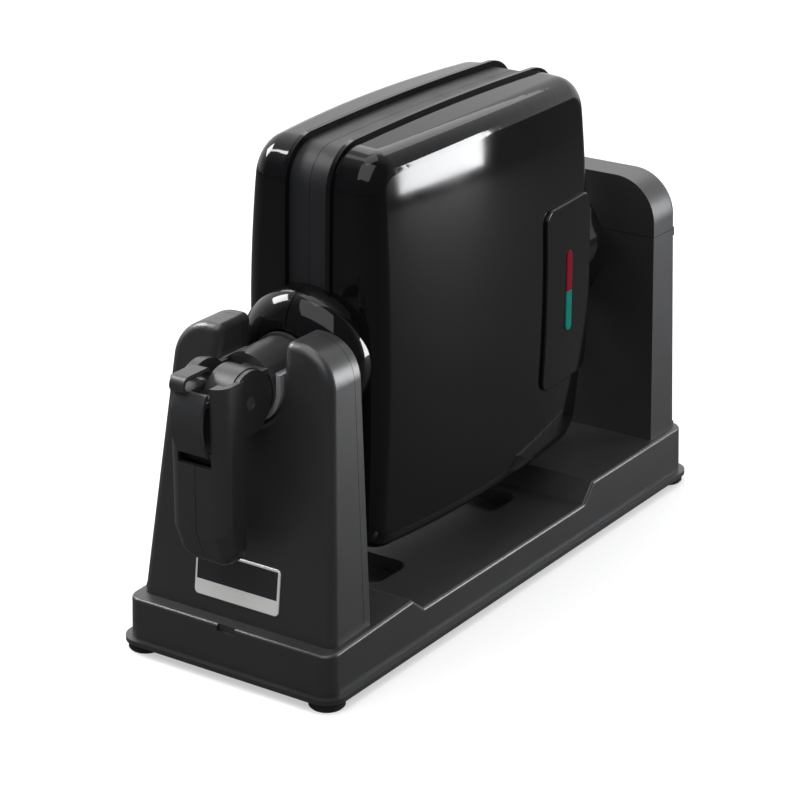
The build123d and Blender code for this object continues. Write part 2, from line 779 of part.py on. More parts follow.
lens_face = crown_reach(lens_centre_along, housing_proud) + lens_proud
lamp_start = lens_face - lens_depth
housing = housing_form() - shell_outer
housing -= lens_form(running_fit, housing_root, lens_face)
keep("control_housing", housing)
lens = lens_form(0, lamp_start, lens_face)
lens = chamfer(lens.faces().sort_by(Axis.X)[-1].edges(), lens_proud / 2)
upper = block(0, 2 * shell_reach, 0, base_half_length, lens_joint_height + running_fit, 2 * pivot_height)
lower = block(0, 2 * shell_reach, 0, base_half_length, 0, lens_joint_height - running_fit)
keep("red_lens", lens & upper)
keep("green_lens", lens & lower)
board = block(lamp_start - board_gap - board_thickness, lamp_start - board_gap, lens_centre_along - board_side,
              lens_centre_along + board_side, lens_joint_height - lens_length, lens_joint_height + lens_length)
for side in (-1, 1):
    board += rod_x(lamp_start - board_gap, lamp_start, lens_centre_along,
                   lens_joint_height + side * lens_length / 2, lens_width / 2)
keep("lamp_board", board)
thermostat = rod_x(pan_end, pan_end + thermostat_depth, thermostat_along, pivot_height, thermostat_radius)
thermostat += rod_x(pan_end + thermostat_depth, pan_end + thermostat_depth + thermostat_button, thermostat_along,
                    pivot_height, thermostat_radius / 3)
keep("thermostat", thermostat)

# Front boss: a dome round the pivot line, split at the parting plane
filled_rim = slab(rim_inset, 0, rim_end)
filled_lip = slab(-lip_proud, lip_start, lip_start + lip_width)
envelope = filled_rim + filled_lip + shell_outer


def turned(points, bends):
    """A solid of revolution about the pivot line from points of (radius, y), with filleted corners."""
    face = make_face(Polyline([(radius, y) for radius, y in points], close=True))
    for radius, y, bend in bends:
        corner = face.vertices().filter_by(lambda v: abs(v.X - radius) < touch and abs(v.Y - y) < touch)
        face = fillet(corner, bend)
    turned_face = Plane(origin=(0, 0, pivot_height), x_dir=(1, 0, 0), z_dir=(0, 0, 1)) * face
    return revolve(turned_face, Axis((0, 0, pivot_height), (0, 1, 0)))


boss_hole = neck_radius + body_gap + running_fit
boss = turned(
    [(boss_hole, -boss_root), (boss_radius, -boss_root), (boss_radius, -boss_shoulder),
     (boss_nose_radius, -boss_nose), (boss_hole, -boss_nose)],
    [(boss_radius, -boss_shoulder, boss_round), (boss_nose_radius, -boss_nose, boss_round)],
)
boss_inner = boss_radius - boss_wall
boss_back = overcut - boss_root
cavity_nose = boss_nose_radius - overcut
boss -= turned(
    [(boss_hole - overcut, boss_back), (boss_inner, boss_back), (boss_inner, -boss_shoulder + boss_wall / 2),
     (cavity_nose, -boss_nose + boss_wall), (boss_hole - overcut, -boss_nose + boss_wall)], [])
right_side = block(parting_gap / 2, base_width, -2 * base_half_length, 2 * base_half_length, 0, 2 * pivot_height)
boss_right = (boss & right_side) - envelope
keep("left_front_boss", other_half(boss_right) - rod_y(
    0, -boss_nose - overcut, -boss_nose + boss_wall + overcut, pivot_height, neck_radius + lid_neck_clearance))
neck_root = -boss_nose + boss_wall + neck_flange
neck_socket = rod_y(0, -boss_nose + boss_wall, neck_root, pivot_height, cavity_nose)
boss_right += (turned(
    [(neck_radius, -boss_nose), (boss_hole + touch, -boss_nose), (boss_hole + touch, -boss_nose + boss_wall),
     (neck_radius, -boss_nose + boss_wall)], []) & right_side)
keep("right_front_boss", boss_right)

# Handle neck: a tube in the saddle, a waist and a drum that the handle folds about
neck = rod_y(0, -neck_end, neck_root, pivot_height, neck_radius)
neck += rod_y(0, -boss_nose - collar_gap - collar_width, -boss_nose - collar_gap, pivot_height,
              neck_radius + collar_step)
neck += neck_socket & block(parting_gap / 2 + seat_gap, base_width, -base_half_length, 0, 0, 2 * pivot_height)
neck += block(-tongue_half, tongue_half, -fold_line, -neck_end, pivot_height - waist_half,
              pivot_height + waist_half)
drum = rod_x(-tongue_half, tongue_half, -fold_line, pivot_height, drum_radius)
neck += drum
neck -= rod_y(0, -neck_end + neck_wall, neck_root + overcut, pivot_height, neck_radius - neck_wall)
groove_outer = -loop_outer - 2 * body_gap
groove_inner = -loop_inner + 2 * body_gap
groove = block(groove_outer, groove_inner, -fold_line - drum_radius - overcut, -neck_end + loop_clearance,
               pivot_height + hub_radius / 2, 2 * pivot_height)
groove -= rod_x(groove_outer, groove_inner, -fold_line, pivot_height, hub_radius)
neck -= groove
neck -= rod_x(-base_width, base_width, -fold_line, pivot_height, fold_pin_radius + running_fit)
keep("handle_neck", neck)
pin_half = arm_half - disc_recess - body_gap
keep("fold_pin", rod_x(-pin_half, pin_half, -fold_line, pivot_height, fold_pin_radius))

# Rear end of the fixed half: a half boss, the hollow shaft and its retaining ring
hub_end = rear_column_front - bush_flange_thickness - seat_gap
rear_boss = turned(
    [(0, boss_root), (rear_boss_radius, boss_root), (rear_boss_radius, rear_boss_end), (0, rear_boss_end)],
    [(rear_boss_radius, rear_boss_end, rear_boss_round)],
)
rear_boss -= turned(
    [(0, boss_root - overcut), (rear_boss_radius - boss_wall, boss_root - overcut),
     (rear_boss_radius - boss_wall, rear_boss_end - boss_wall), (0, rear_boss_end - boss_wall)], [])
rear_boss = (rear_boss & right_side) - envelope - housing_form()
hub = rod_y(0, rear_boss_end - boss_wall, hub_end, pivot_height, shaft_shoulder_radius)
clip_place = rear_column_front + bush_length + seat_gap
shaft_end = clip_place + clip_width + shaft_tip
shaft = hub + rod_y(0, hub_end, shaft_end, pivot_height, shaft_radius)
shaft -= rod_y(0, boss_root, shaft_end + overcut, pivot_height, shaft_bore_radius)
ring_groove = rod_y(0, clip_place, clip_place + clip_width, pivot_height, 2 * shaft_radius)
ring_groove -= rod_y(0, clip_place, clip_place + clip_width, pivot_height, shaft_radius - clip_rise / 2)
shaft -= ring_groove
keep("rear_boss", rear_boss - hub)
keep("pivot_shaft", shaft)
ring = rod_y(0, clip_place + running_fit, clip_place + clip_width - running_fit, pivot_height,
             shaft_radius + clip_rise)
ring -= rod_y(0, clip_place, clip_place + clip_width, pivot_height, shaft_radius - clip_rise / 2 + running_fit)
ring -= block(-clip_rise / 2, clip_rise / 2, clip_place, clip_place + clip_width,
              pivot_height, pivot_height + 2 * shaft_radius)
keep("retaining_ring", ring)

# Lid hinge: slotted ears on the fixed half, floating pins and a leaf on the lid
slot_clearance = hinge_pin_radius + running_fit
leaves = []
brackets = []
pins = []
for side in (-1, 1):
    height = pivot_height + side * hinge_spread
    half = hinge_lug_height / 2
    lug = rod_z(-hinge_offset, hinge_line, height - half, height + half, hinge_lug_radius)
    lug += block(-hinge_offset - hinge_lug_radius, -hinge_offset + hinge_lug_radius,
                 cooker_half_length - 2 * side_bow - lip_proud, hinge_line, height - half, height + half)
    lug -= rod_z(-hinge_offset, hinge_line, height - 2 * half, height + 2 * half, slot_clearance)
    leaves.append(lug)
    ear_low = half + seat_gap
    ear_high = ear_low + hinge_ear_thickness
    web = block(seat_gap, rim_end - seat_gap, boss_root, hinge_line + hinge_ear_radius,
                height - ear_high, height + ear_high)
    for end in (-1, 1):
        bottom = height + end * (ear_low + ear_high) / 2 - hinge_ear_thickness / 2
        top = bottom + hinge_ear_thickness
        ear = rod_z(-hinge_offset - hinge_float, hinge_line, bottom, top, hinge_ear_radius)
        ear += block(-hinge_offset - hinge_float, seat_gap, hinge_line - hinge_ear_radius,
                     hinge_line + hinge_ear_radius, bottom, top)
        ear -= block(-hinge_offset - hinge_float, -hinge_offset, hinge_line - slot_clearance,
                     hinge_line + slot_clearance, bottom - overcut, top + overcut)
        for x in (-hinge_offset - hinge_float, -hinge_offset):
            ear -= rod_z(x, hinge_line, bottom - overcut, top + overcut, slot_clearance)
        web += ear
    brackets.append(web)
    pin = rod_z(-hinge_offset, hinge_line, height - ear_high - seat_gap, height + ear_high + seat_gap,
                hinge_pin_radius)
    for end in (-1, 1):
        foot = height + end * (ear_high + seat_gap)
        pin += rod_z(-hinge_offset, hinge_line, min(foot, foot + end * pin_head_height),
                     max(foot, foot + end * pin_head_height), pin_head_radius)
    pins.append(pin)
left_envelope = other_half(envelope)
keep("lid_hinge_leaf", Compound([leaf - left_envelope for leaf in leaves]))
keep("hinge_bracket", Compound([bracket - envelope for bracket in brackets]))
keep("hinge_pins", Compound(pins))

right_shell -= lens_form(lens_window, lip_start + lip_width, lens_face)
keep("right_shell", right_shell)
keep("right_rim", right_rim)

# Handle: two halves that meet on the middle plane, forked round the drum

def arm_form(inset):
    """The arm's form: flat front, round lower end, a bevel below and large front edges."""
    low = arm_bottom + inset
    half = arm_half - inset
    top = arm_top - inset
    front = Pos(0, (low + top) / 2) * Rectangle(2 * half, top - low)
    front = fillet(front.vertices().filter_by(lambda v: v.Y < low + touch), arm_corner - inset)
    depth = arm_front - arm_rear
    body = Pos(0, -arm_rear - inset, 0) * extrude(Plane.XZ * front, amount=depth - 2 * inset)
    bevel = [
        (-arm_front - overcut, arm_bottom + arm_bevel_height),
        (-arm_front + inset, arm_bottom + arm_bevel_height),
        (-arm_front + inset + arm_bevel_depth, arm_bottom),
        (-arm_front + inset + arm_bevel_depth, arm_bottom - overcut),
        (-arm_front - overcut, arm_bottom - overcut),
    ]
    body -= section_yz(bevel, -2 * arm_half, 2 * arm_half)
    if inset > 0:
        return body
    below_top = body.edges().filter_by(lambda e: e.center().Z < arm_top - overcut)
    bevel_line = -arm_front + arm_bevel_depth + touch
    front_edges = below_top.filter_by(lambda e: e.center().Y < bevel_line and abs(e.center().X) > touch)
    body = fillet(front_edges, arm_edge)
    below_top = body.edges().filter_by(lambda e: e.center().Z < arm_top - overcut)
    rear_edges = below_top.filter_by(lambda e: min((e @ 0).Y, (e @ 1).Y) > -arm_rear - touch)
    return fillet(rear_edges, arm_rear_edge)


arm = arm_form(0)
hollow_top = pivot_height - drum_radius - 2 * arm_wall
hollow = arm_form(arm_wall) & block(-arm_half, arm_half, -arm_front, 0, 0, hollow_top)
arm -= hollow
fork_inner = tongue_half + seat_gap
arm -= rod_x(-fork_inner, fork_inner, -fold_line, pivot_height, drum_radius + body_gap)
arm -= block(-fork_inner, fork_inner, -fold_line - drum_radius - body_gap, 0, pivot_height, arm_top + overcut)
disc = rod_x(fork_inner, arm_half - disc_recess, -fold_line, pivot_height, disc_radius)
arm += [disc, other_half(disc)]
arm -= rod_x(-base_width, base_width, -fold_line, pivot_height, fold_pin_radius + running_fit)
arm -= block(-latch_recess_half, latch_recess_half, -arm_front - overcut, -arm_front + latch_recess_depth,
             latch_recess_low, arm_top + overcut)
arm -= rod_x(-latch_recess_half, latch_recess_half, -latch_pin_line, latch_pin_height,
             latch_knuckle_radius + body_gap)
arm -= block(-latch_recess_half, latch_recess_half, -latch_pin_line, 0, latch_pin_height, arm_top + overcut)
pin_end = latch_recess_half + latch_pin_grip
arm -= rod_x(-pin_end, pin_end, -latch_pin_line, latch_pin_height, latch_pin_radius + running_fit)
screw_seat = screw_length - screw_grip
handle_screws = []
for drop in handle_screw_drops:
    height = pivot_height - drop
    arm += rod_x(-arm_half + arm_wall / 2, arm_half - arm_wall / 2, -handle_screw_line, height, post_radius)
    arm -= rod_x(-screw_seat, screw_grip + overcut, -handle_screw_line, height, screw_radius + running_fit)
    arm -= rod_x(-arm_half - overcut, -screw_seat, -handle_screw_line, height, screw_head_radius + seat_gap)
    handle_screws.append(screw((-screw_seat, -handle_screw_line, height), (1, 0, 0)))
keep("handle_right_half", arm & block(seat_gap / 2, base_width, -base_length, 0, 0, 2 * pivot_height))
keep("handle_left_half", arm & block(-base_width, -seat_gap / 2, -base_length, 0, 0, 2 * pivot_height))

# Latch: a curved lever on a sprung pin, with an open loop that lies in the groove of the neck
latch_middle = (latch_low + latch_high) / 2
latch_end = latch_reach - latch_belly
lever_face = make_face([
    ThreePointArc((-latch_end, latch_low), (-latch_reach, latch_middle), (-latch_end, latch_high)),
    Line((-latch_end, latch_high), (-latch_end + latch_thickness, latch_high)),
    ThreePointArc((-latch_end + latch_thickness, latch_high), (-latch_reach + latch_thickness, latch_middle),
                  (-latch_end + latch_thickness, latch_low)),
    Line((-latch_end + latch_thickness, latch_low), (-latch_end, latch_low)),
])
lever = Pos(-latch_half, 0, 0) * extrude(Plane.YZ * lever_face, amount=2 * latch_half)
lever = fillet(lever.edges(), latch_thickness / 4)
knuckle_end = spring_length / 2 + 2 * spring_wire
for x0, x1 in ((-latch_half, -knuckle_end), (knuckle_end, latch_half)):
    lever += rod_x(x0, x1, -latch_pin_line, latch_pin_height, latch_knuckle_radius)
    lever += block(x0, x1, -latch_end - latch_thickness / 2, -latch_pin_line,
                   latch_pin_height - latch_thickness / 2, latch_pin_height + latch_thickness / 2)
lever -= rod_x(-base_width, base_width, -latch_pin_line, latch_pin_height, latch_pin_radius + running_fit)
loop_length = loop_front - loop_rear
loop_height = loop_high - loop_low
loop = SlotOverall(loop_length, loop_height)
loop -= SlotOverall(loop_length - 2 * loop_wall, loop_height - 2 * loop_wall)
loop_place = Pos(-loop_outer, -(loop_rear + loop_length / 2), (loop_low + loop_high) / 2)
lever += loop_place * extrude(Plane.YZ * loop, amount=loop_outer - loop_inner)
keep("latch_lever", lever)
keep("latch_pin", rod_x(-pin_end, pin_end, -latch_pin_line, latch_pin_height, latch_pin_radius))
coil_radius = latch_pin_radius + 2 * spring_wire
coil_path = Helix(pitch=spring_length / spring_turns, height=spring_length, radius=coil_radius)
coil = sweep(Plane(origin=coil_path @ 0, z_dir=coil_path % 0) * Circle(spring_wire / 2), path=coil_path)
keep("latch_spring", Pos(-spring_length / 2, -latch_pin_line, latch_pin_height) * Rot(0, 90, 0) * coil)
keep("cover_screws", Compound(cover_screws))
keep("handle_screws", Compound(handle_screws))

for name, shape in nodes.items():
    export_step(shape, "parts/" + name + ".step")
    print(name, round(shape.volume / 1000, 2))
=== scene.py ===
import json
from math import acos, cos, pi, radians, sin

import bmesh
import bpy
from mathutils import Euler, Matrix, Vector


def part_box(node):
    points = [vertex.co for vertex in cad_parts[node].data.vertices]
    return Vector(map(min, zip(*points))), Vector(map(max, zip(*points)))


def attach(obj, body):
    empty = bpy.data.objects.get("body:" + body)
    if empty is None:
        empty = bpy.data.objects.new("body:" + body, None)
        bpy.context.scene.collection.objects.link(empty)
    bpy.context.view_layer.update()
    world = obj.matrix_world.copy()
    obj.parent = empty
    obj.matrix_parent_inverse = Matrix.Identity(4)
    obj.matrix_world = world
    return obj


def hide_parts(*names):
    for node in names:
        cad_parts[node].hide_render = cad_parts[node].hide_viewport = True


# Rotating waffle maker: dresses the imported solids, and makes its screws and its front boss anew
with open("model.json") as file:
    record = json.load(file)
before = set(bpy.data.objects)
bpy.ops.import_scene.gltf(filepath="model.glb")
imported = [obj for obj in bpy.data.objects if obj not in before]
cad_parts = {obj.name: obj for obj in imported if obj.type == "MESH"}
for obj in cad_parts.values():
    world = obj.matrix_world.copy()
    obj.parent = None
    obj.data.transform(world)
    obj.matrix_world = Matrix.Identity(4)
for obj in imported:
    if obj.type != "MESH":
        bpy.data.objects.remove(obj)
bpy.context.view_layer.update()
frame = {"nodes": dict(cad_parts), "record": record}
nodes = frame["nodes"]
bodyOf = {name: body for body, names in frame["record"]["behaviour"]["bodies"].items() for name in names}
scene = bpy.context.scene
print("frame loaded")


# Small helpers for objects and meshes
def newObject(name, data):
    made = bpy.data.objects.new(name, data)
    scene.collection.objects.link(made)
    return made


def finishedMesh(maker, name):
    made = maker.evaluated_get(bpy.context.evaluated_depsgraph_get())
    mesh = bpy.data.meshes.new_from_object(made)
    mesh.name = name
    return mesh


# Small helpers for node trees
def newMaterial(name):
    material = bpy.data.materials.new(name)
    material.use_nodes = True
    shader = material.node_tree.nodes["Principled BSDF"]
    return material, material.node_tree, shader


def addNode(tree, kind, **values):
    node = tree.nodes.new(kind)
    for key, value in values.items():
        setattr(node, key, value)
    return node


# A socket takes a link from another socket, or else a plain value
def feed(tree, socket, value):
    if isinstance(value, bpy.types.NodeSocket):
        tree.links.new(value, socket)
    else:
        socket.default_value = value


def calculate(tree, operation, first, second, clamped=False):
    node = addNode(tree, "ShaderNodeMath", operation=operation, use_clamp=clamped)
    feed(tree, node.inputs[0], first)
    feed(tree, node.inputs[1], second)
    return node.outputs[0]


def objectPoint(tree, scale=(1, 1, 1)):
    coordinates = addNode(tree, "ShaderNodeTexCoord")
    mapping = addNode(tree, "ShaderNodeMapping")
    mapping.inputs["Scale"].default_value = scale
    tree.links.new(coordinates.outputs["Object"], mapping.inputs["Vector"])
    return mapping.outputs["Vector"]


def noiseAt(tree, point, scale, detail=3.0, rough=0.55):
    noise = addNode(tree, "ShaderNodeTexNoise")
    noise.inputs["Scale"].default_value = scale
    noise.inputs["Detail"].default_value = detail
    noise.inputs["Roughness"].default_value = rough
    tree.links.new(point, noise.inputs["Vector"])
    return noise.outputs["Fac"]


def spread(tree, value, low, high, fromLow=0.3, fromHigh=0.7):
    span = addNode(tree, "ShaderNodeMapRange")
    span.inputs["From Min"].default_value = fromLow
    span.inputs["From Max"].default_value = fromHigh
    span.inputs["To Min"].default_value = low
    span.inputs["To Max"].default_value = high
    tree.links.new(value, span.inputs["Value"])
    return span.outputs["Result"]


def blendColours(tree, factor, first, second):
    mix = addNode(tree, "ShaderNodeMix", data_type="RGBA")
    for key, colour in (("A", first), ("B", second)):
        feed(tree, mix.inputs[key], colour if isinstance(colour, bpy.types.NodeSocket) else (*colour, 1))
    tree.links.new(factor, mix.inputs["Factor"])
    return mix.outputs["Result"]


def bumpFrom(tree, shader, height, strength, distance):
    bump = addNode(tree, "ShaderNodeBump")
    bump.inputs["Strength"].default_value = strength
    bump.inputs["Distance"].default_value = distance
    tree.links.new(height, bump.inputs["Height"])
    tree.links.new(bump.outputs["Normal"], shader.inputs["Normal"])


# Moulded plastic: a colour that drifts a little, a worn-in roughness and a fine grain
def mouldedPlastic(name, look):
    material, tree, shader = newMaterial(name)
    point = objectPoint(tree)
    cloud = noiseAt(tree, point, look["cloudScale"], 2)
    tree.links.new(blendColours(tree, cloud, look["dark"], look["light"]), shader.inputs["Base Color"])
    tree.links.new(spread(tree, noiseAt(tree, point, look["smudgeScale"], 4), look["smooth"], look["rough"]),
                   shader.inputs["Roughness"])
    bumpFrom(tree, shader, noiseAt(tree, point, look["grainScale"], 2), look["grain"], look["grainDepth"])
    shader.inputs["Specular IOR Level"].default_value = look["shine"]
    return material


satinLook = {"dark": (0.0150, 0.0153, 0.0165), "light": (0.0185, 0.0189, 0.0202), "cloudScale": 9,
             "smudgeScale": 35, "smooth": 0.36, "rough": 0.40, "grainScale": 1900, "grain": 0.10,
             "grainDepth": 0.00012, "shine": 1.0}
glossLook = {"dark": (0.0030, 0.0030, 0.0032), "light": (0.0050, 0.0050, 0.0053), "cloudScale": 5,
             "smudgeScale": 22, "smooth": 0.045, "rough": 0.085, "grainScale": 260, "grain": 0.015,
             "grainDepth": 0.0001, "shine": 0.40}
bandLook = {"dark": (0.0120, 0.0124, 0.0138), "light": (0.0180, 0.0185, 0.0205), "cloudScale": 12,
            "smudgeScale": 60, "smooth": 0.36, "rough": 0.48, "grainScale": 2400, "grain": 0.18,
            "grainDepth": 0.00015, "shine": 0.40}
bearingLook = {"dark": (0.20, 0.20, 0.21), "light": (0.27, 0.27, 0.28), "cloudScale": 20, "smudgeScale": 90,
               "smooth": 0.35, "rough": 0.50, "grainScale": 1200, "grain": 0.12, "grainDepth": 0.0001,
               "shine": 0.45}
rubberLook = {"dark": (0.010, 0.010, 0.010), "light": (0.018, 0.018, 0.018), "cloudScale": 30,
              "smudgeScale": 120, "smooth": 0.65, "rough": 0.85, "grainScale": 1500, "grain": 0.35,
              "grainDepth": 0.0002, "shine": 0.3}
boardLook = {"dark": (0.02, 0.10, 0.04), "light": (0.03, 0.16, 0.06), "cloudScale": 90, "smudgeScale": 60,
             "smooth": 0.25, "rough": 0.40, "grainScale": 700, "grain": 0.2, "grainDepth": 0.0001,
             "shine": 0.5}
satinBlack = mouldedPlastic("satin_black", satinLook)
glossBlack = mouldedPlastic("gloss_black", glossLook)
bandGrey = mouldedPlastic("band_grey", bandLook)
bearingGrey = mouldedPlastic("bearing_grey", bearingLook)
footRubber = mouldedPlastic("foot_rubber", rubberLook)
boardGreen = mouldedPlastic("board_green", boardLook)


# Metal: streaks drawn out along one direction, or an even cast surface
def streakedMetal(name, look):
    material, tree, shader = newMaterial(name)
    streak = noiseAt(tree, objectPoint(tree, look["stretch"]), look["scale"], 5, 0.65)
    tree.links.new(blendColours(tree, streak, look["dark"], look["light"]), shader.inputs["Base Color"])
    tree.links.new(spread(tree, streak, look["smooth"], look["rough"]), shader.inputs["Roughness"])
    bumpFrom(tree, shader, streak, look["relief"], look["depth"])
    shader.inputs["Metallic"].default_value = look["metal"]
    return material


brightSteel = streakedMetal("bright_steel", {
    "stretch": (1, 1, 0.08), "scale": 900, "dark": (0.54, 0.54, 0.55), "light": (0.62, 0.62, 0.62),
    "smooth": 0.27, "rough": 0.34, "relief": 0.03, "depth": 0.00002, "metal": 1.0})
panSteel = streakedMetal("pan_steel", {
    "stretch": (1, 0.05, 1), "scale": 700, "dark": (0.62, 0.62, 0.63), "light": (0.78, 0.78, 0.78),
    "smooth": 0.15, "rough": 0.30, "relief": 0.10, "depth": 0.00005, "metal": 1.0})
heaterSteel = streakedMetal("heater_steel", {
    "stretch": (1, 1, 1), "scale": 60, "dark": (0.16, 0.13, 0.11), "light": (0.36, 0.34, 0.33),
    "smooth": 0.40, "rough": 0.65, "relief": 0.2, "depth": 0.0001, "metal": 1.0})
coatedPlate = streakedMetal("coated_plate", {
    "stretch": (1, 1, 1), "scale": 1400, "dark": (0.040, 0.040, 0.042), "light": (0.070, 0.070, 0.073),
    "smooth": 0.34, "rough": 0.50, "relief": 0.25, "depth": 0.0001, "metal": 0.35})

# Lens: clear coloured plastic over a fine ribbed diffuser
lensLook = {"ribScale": 320, "rough": 0.12, "shine": 0.2, "cloudy": 0.25, "cloudReach": (0.002, 0.002, 0.002)}


def lensPlastic(name, deep, bright):
    material, tree, shader = newMaterial(name)
    rib = addNode(tree, "ShaderNodeTexWave", wave_type="BANDS", bands_direction="Z", wave_profile="SIN")
    rib.inputs["Scale"].default_value = lensLook["ribScale"]
    tree.links.new(objectPoint(tree), rib.inputs["Vector"])
    tree.links.new(blendColours(tree, rib.outputs["Fac"], deep, bright), shader.inputs["Base Color"])
    shader.inputs["Roughness"].default_value = lensLook["rough"]
    shader.inputs["Specular IOR Level"].default_value = lensLook["shine"]
    shader.inputs["Subsurface Weight"].default_value = lensLook["cloudy"]
    shader.inputs["Subsurface Radius"].default_value = lensLook["cloudReach"]
    return material


lensRed = lensPlastic("lens_red", (0.13, 0.002, 0.010), (0.24, 0.005, 0.022))
lensGreen = lensPlastic("lens_green", (0.003, 0.13, 0.105), (0.006, 0.23, 0.185))

# Name plate: a silver border, a dark upper field and a pale band below, all bare
plateLook = {"border": 0.0015, "bandShare": 0.34, "silverDark": (0.66, 0.66, 0.65),
             "silverLight": (0.78, 0.78, 0.77), "field": (0.020, 0.020, 0.022), "metal": 0.15,
             "stretch": (0.06, 1, 1), "scale": 1500, "smooth": 0.30, "rough": 0.42}


def barePlate(name, look):
    material, tree, shader = newMaterial(name)
    low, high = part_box("name_plate")
    place = addNode(tree, "ShaderNodeSeparateXYZ")
    tree.links.new(objectPoint(tree), place.inputs["Vector"])

    def within(axis, least, most):
        return calculate(tree, "MULTIPLY", calculate(tree, "GREATER_THAN", place.outputs[axis], least),
                         calculate(tree, "LESS_THAN", place.outputs[axis], most))

    border = look["border"]
    bandTop = low[2] + (high[2] - low[2]) * look["bandShare"]
    field = calculate(tree, "MULTIPLY", within("X", low[0] + border, high[0] - border),
                      within("Z", bandTop, high[2] - border))
    brushed = noiseAt(tree, objectPoint(tree, look["stretch"]), look["scale"], 4)
    silver = blendColours(tree, brushed, look["silverDark"], look["silverLight"])
    tree.links.new(blendColours(tree, field, silver, look["field"]), shader.inputs["Base Color"])
    tree.links.new(spread(tree, brushed, look["smooth"], look["rough"]), shader.inputs["Roughness"])
    tree.links.new(calculate(tree, "SUBTRACT", look["metal"], field, clamped=True), shader.inputs["Metallic"])
    return material


plateBare = barePlate("bare_plate", plateLook)
print("materials made")

# Each packed slot's plain material gives way to the finish made for it here
finishes = {
    "stand_black": satinBlack, "shell_black": glossBlack, "band_grey": bandGrey, "handle_black": satinBlack,
    "bare_label": plateBare, "coated_plate": coatedPlate, "bright_steel": brightSteel, "pan_steel": panSteel,
    "heater_steel": heaterSteel, "grey_bearing": bearingGrey, "foot_rubber": footRubber, "lamp_red": lensRed,
    "lamp_green": lensGreen, "board": boardGreen}


def dressNode(name):
    for slot in nodes[name].material_slots:
        for key, material in finishes.items():
            if slot.material and slot.material.name.startswith(key):
                slot.material = material
                break


for name in nodes:
    dressNode(name)
print("nodes dressed")

# Smoothed copies: near corners become one, and an edge up to the crease angle is soft
mergeDistance = 0.00001
creaseAngle = radians(32)
# The crowned faces: the crown's radius and its reach from the parting plane, the round edge's radius and the
# degrees that it turns, and how far off a corner (slack) or a facet (degrees) still counts as on them
crownLook = {"radius": 1.1, "reach": 0.056, "edge": 0.015, "edgeTurn": 86, "slack": 0.00002,
             "leastFacing": 0.02, "faceSlack": 20, "edgeSlack": 14}
# The height of each face over the crown
crownRise = {"right_shell": 0, "left_shell": 0, "control_housing": 0.002}


# Exact shading for the crowned faces and their round edges, whose facets are long: a corner on the crown
# looks away from the crown's centre, and one on the edge leans outwards by the angle that its depth gives
def crownNormals(name, mesh):
    low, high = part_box("left_shell" if name == "left_shell" else "right_shell")
    side = -1 if name == "left_shell" else 1
    centre = Vector((side * (crownLook["reach"] - crownLook["radius"]), (low[1] + high[1]) / 2,
                     (low[2] + high[2]) / 2))
    deepest = crownLook["edge"] * (1 - cos(radians(crownLook["edgeTurn"])))
    normals = [corner.vector.copy() for corner in mesh.corner_normals]
    for face in mesh.polygons:
        for loop in face.loop_indices:
            arm = mesh.vertices[mesh.loops[loop].vertex_index].co - centre
            depth = crownLook["radius"] + crownRise[name] - arm.length
            away = arm.normalized()
            if face.normal.dot(away) < crownLook["leastFacing"]:
                continue
            if abs(depth) < crownLook["slack"]:
                if face.normal.angle(away) < radians(crownLook["faceSlack"]):
                    normals[loop] = away
            elif name != "control_housing" and 0 < depth < deepest:
                lean = acos(1 - depth / crownLook["edge"])
                if abs(face.normal.angle(away) - lean) < radians(crownLook["edgeSlack"]):
                    outward = (normals[loop] - away * normals[loop].dot(away)).normalized()
                    normals[loop] = away * cos(lean) + outward * sin(lean)
    mesh.normals_split_custom_set(normals)


def smoothCopy(name):
    mesh = nodes[name].data.copy()
    work = bmesh.new()
    work.from_mesh(mesh)
    bmesh.ops.remove_doubles(work, verts=work.verts, dist=mergeDistance)
    for face in work.faces:
        face.smooth = True
    for edge in work.edges:
        edge.smooth = len(edge.link_faces) == 2 and edge.calc_face_angle(0.0) < creaseAngle
    work.to_mesh(mesh)
    work.free()
    piece = newObject(name + "_dressed", mesh)
    evened = piece.modifiers.new("even_shading", "WEIGHTED_NORMAL")
    evened.keep_sharp = True
    piece.data = finishedMesh(piece, name + "_dressed")
    piece.modifiers.clear()
    if name in crownRise:
        crownNormals(name, piece.data)
    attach(piece, bodyOf[name])
    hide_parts(name)


screwTurns = {"base_screws": (pi, 0, 0), "cover_screws": (-pi / 2, 0, 0), "handle_screws": (0, -pi / 2, 0)}
bossSides = {"right_front_boss": 1, "left_front_boss": -1}
for name in nodes:
    if name not in screwTurns and name not in bossSides:
        smoothCopy(name)
print("smooth copies made")

# Front boss: a hollow dome round the turning line, one half on each side of the parting plane
bossLook = {"radius": 0.044, "wall": 0.004, "flank": 0.0055, "gap": 0.00015, "hole": {1: 0.0201, -1: 0.0225},
            "arcSteps": 20, "turnSteps": 48}


def bossProfile(nose, root, hole):
    points = [(bossLook["radius"], root)]
    for inset, order in ((0, 1), (bossLook["wall"], -1)):
        wide = bossLook["radius"] - inset - hole
        tall = root - bossLook["flank"] - nose - inset
        arc = []
        for step in range(bossLook["arcSteps"] + 1):
            turn = pi / 2 * step / bossLook["arcSteps"]
            arc.append((hole + wide * cos(turn), root - bossLook["flank"] - tall * sin(turn)))
        points += arc[::order]
    points.append((bossLook["radius"] - bossLook["wall"], root))
    return points


